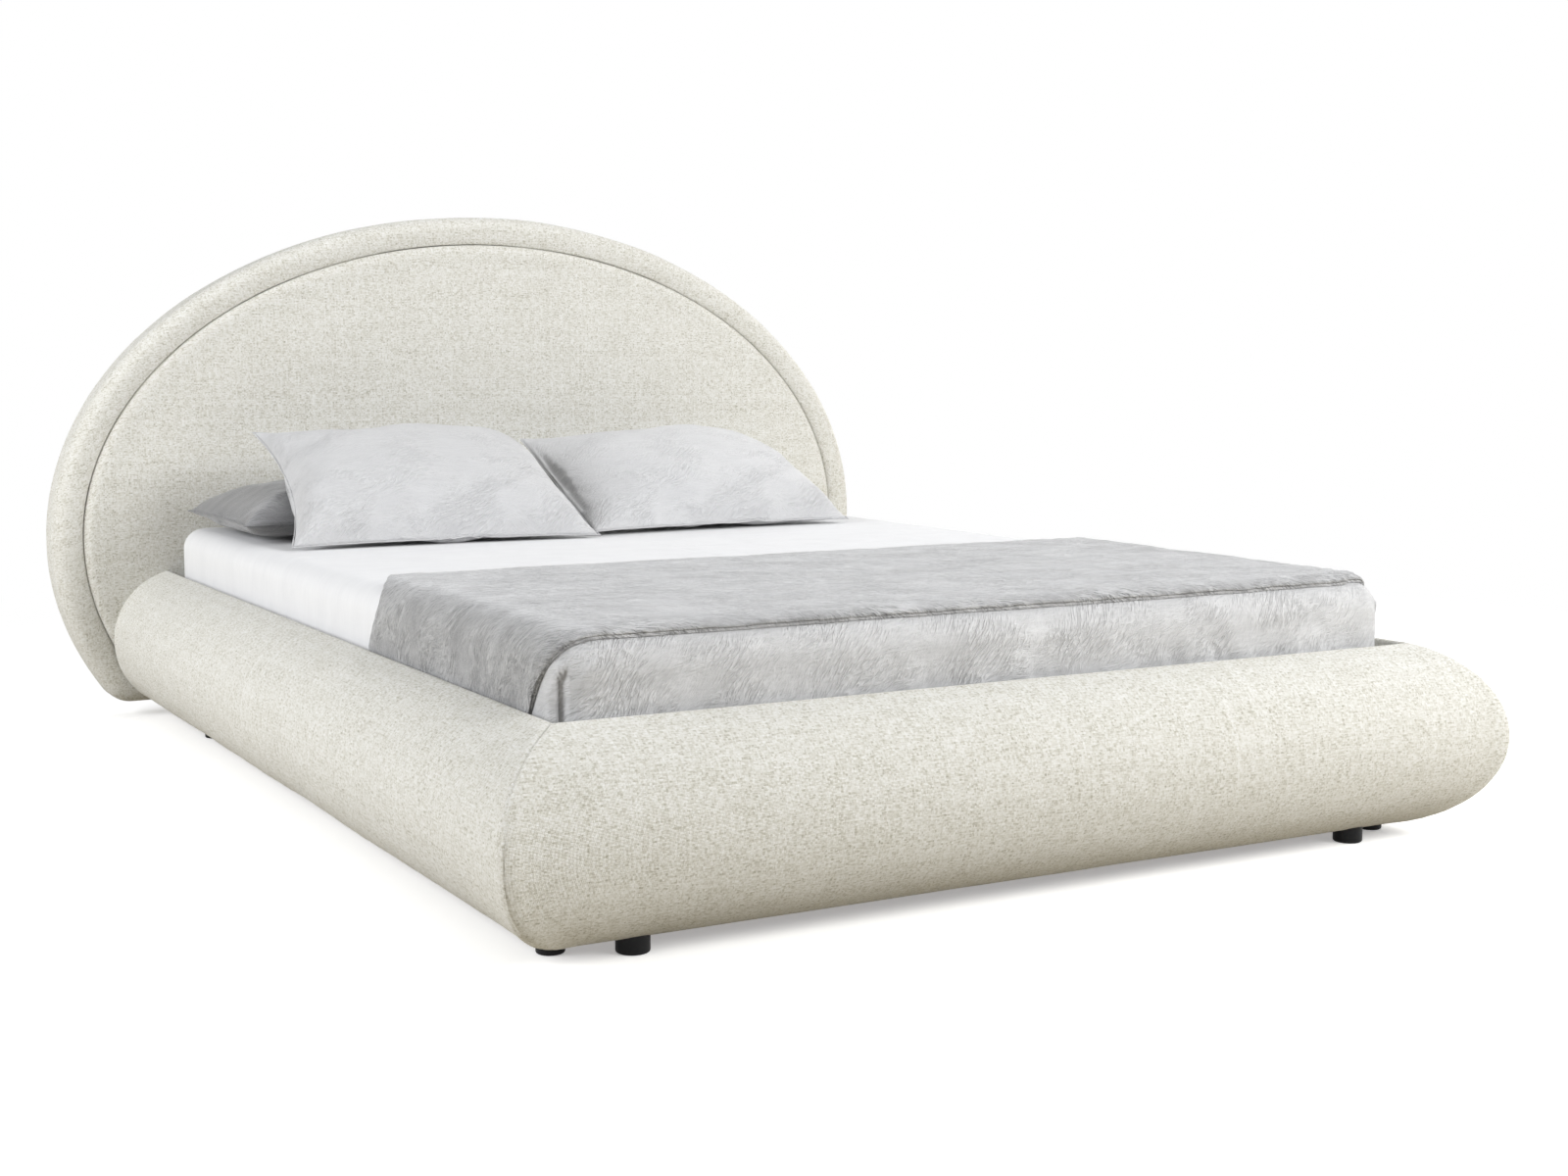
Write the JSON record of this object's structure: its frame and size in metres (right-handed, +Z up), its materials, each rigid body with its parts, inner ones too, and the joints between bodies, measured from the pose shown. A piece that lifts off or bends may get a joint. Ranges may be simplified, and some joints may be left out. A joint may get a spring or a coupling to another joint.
{
  "type": "upholstered bed",
  "caption": "Low double bed with padded rounded headboard, half-round fabric rails, sprung slat base, mattress, folded throw and pillows.",
  "frame": {"origin": "on the floor at the middle of the bed's outline", "axes": "+X across the bed to the right seen from the foot end, +Y along the bed from the foot to the headboard, +Z up"},
  "size_m": [1.89, 2.248, 1.053],
  "materials": {
    "bed_fabric": "cream basket-weave upholstery cloth",
    "back_cloth": "thin dark lining cloth",
    "foam": "pale upholstery foam",
    "plywood": "raw plywood",
    "pine": "raw planed pine",
    "beech": "lacquered bent laminate",
    "zinc_steel": "zinc-plated steel",
    "black_steel": "black powder coat",
    "black_plastic": "moulded black plastic",
    "webbing": "woven strap",
    "mattress_cloth": "knitted mattress ticking",
    "white_cotton": "smooth white cotton",
    "coverlet_cloth": "light grey satin weave",
    "throw_cloth": "mid grey linen weave",
    "pillow_white": "pale grey-white satin weave",
    "pillow_grey": "dark grey cotton"
  },
  "bodies": {
    "bed_frame": {"side_cover_left": "bed_fabric", "side_cover_right": "bed_fabric", "foot_cover": "bed_fabric", "headboard_border": "bed_fabric", "headboard_centre_pad": "bed_fabric", "headboard_back_cloth": "back_cloth", "side_bolster_left": "foam", "side_bolster_right": "foam", "foot_bolster": "foam", "headboard_panel": "plywood", "side_board_left": "pine", "side_board_right": "pine", "foot_board": "pine", "side_ledge_left": "pine", "side_ledge_right": "pine", "foot_ledge": "pine", "head_rail": "pine", "foot_blocks": "pine", "headboard_rim": "pine", "headboard_posts": "pine", "foot_corner_brackets": "zinc_steel", "head_corner_brackets": "zinc_steel", "corner_bolts": "zinc_steel", "headboard_bolts": "zinc_steel", "headboard_nuts": "zinc_steel", "beam_hangers": "zinc_steel", "centre_beam": "black_steel", "centre_legs": "black_steel", "foot_rail_feet": "black_plastic", "side_rail_feet": "black_plastic"},
    "slat_base": {"slat_rail_left": "pine", "slat_rail_right": "pine", "slat_crossbars": "pine", "slats": "beech", "slat_holders": "black_plastic", "slat_belt": "webbing"},
    "mattress": {"mattress": "mattress_cloth", "fitted_sheet": "white_cotton", "coverlet": "coverlet_cloth", "throw": "throw_cloth"},
    "back_pillow_left": {"back_pillow_left": "pillow_grey"},
    "back_pillow_right": {"back_pillow_right": "pillow_grey"},
    "pillow_left": {"pillow_left": "pillow_white"},
    "pillow_right": {"pillow_right": "pillow_white"},
    "glide_foot": {"centre_glide_foot": "black_plastic"},
    "glide_head": {"centre_glide_head": "black_plastic"}
  },
  "joints": [
    {"name": "slat_base_lift", "type": "slide", "parent": "bed_frame", "child": "slat_base", "axis": [0, 0, 1], "range_m": [0, 0.2]},
    {"name": "mattress_lift", "type": "slide", "parent": "slat_base", "child": "mattress", "axis": [0, 0, 1], "range_m": [0, 0.35]},
    {"name": "back_pillow_left_lift", "type": "slide", "parent": "mattress", "child": "back_pillow_left", "axis": [0, 0, 1], "range_m": [0, 0.3]},
    {"name": "back_pillow_right_lift", "type": "slide", "parent": "mattress", "child": "back_pillow_right", "axis": [0, 0, 1], "range_m": [0, 0.3]},
    {"name": "pillow_left_lift", "type": "slide", "parent": "back_pillow_left", "child": "pillow_left", "axis": [0, 0, 1], "range_m": [0, 0.3]},
    {"name": "pillow_right_lift", "type": "slide", "parent": "back_pillow_right", "child": "pillow_right", "axis": [0, 0, 1], "range_m": [0, 0.3]},
    {"name": "glide_foot_level", "type": "slide", "parent": "bed_frame", "child": "glide_foot", "axis": [0, 0, 1], "range_m": [0, 0.015]},
    {"name": "glide_head_level", "type": "slide", "parent": "bed_frame", "child": "glide_head", "axis": [0, 0, 1], "range_m": [0, 0.015]}
  ]
}
